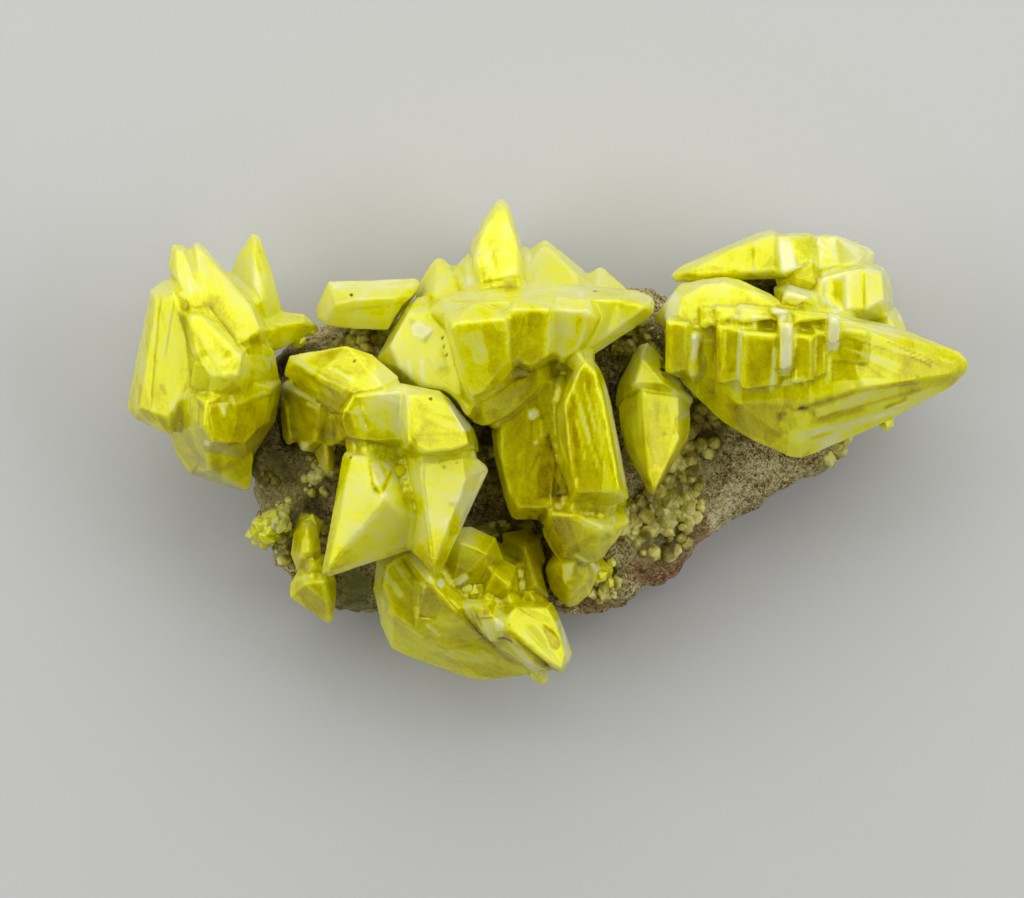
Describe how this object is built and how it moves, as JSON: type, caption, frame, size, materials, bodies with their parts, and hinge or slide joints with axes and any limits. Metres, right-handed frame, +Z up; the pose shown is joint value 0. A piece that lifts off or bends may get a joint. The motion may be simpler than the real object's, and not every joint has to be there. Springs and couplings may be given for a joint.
{
  "type": "native sulfur crystal specimen",
  "caption": "Clusters of blocky, pointed translucent yellow sulfur crystals seated in a flat-backed lump of grey host rock.",
  "frame": {"origin": "centre of the bounding box, on the surface that the rock's flat broken back rests on", "axes": "+X along the length, towards the great pointed crystal; +Y across, towards the tall central point; +Z up, out of the crystal side"},
  "size_m": [0.0844, 0.049, 0.0303],
  "materials": {
    "sulfur": "translucent native sulfur with a resinous gloss",
    "host_rock": "matt grey-brown host rock, dull and rough"
  },
  "bodies": {
    "root": {"host_rock": "host_rock", "left_crystal_cluster": "sulfur", "back_left_crystal": "sulfur", "arm_crystal_cluster": "sulfur", "lower_left_tablet": "sulfur", "lower_left_points": "sulfur", "lower_crystal_cluster": "sulfur", "centre_crystal_cluster": "sulfur", "arrow_crystal": "sulfur", "right_crystal_cluster": "sulfur"}
  },
  "joints": []
}
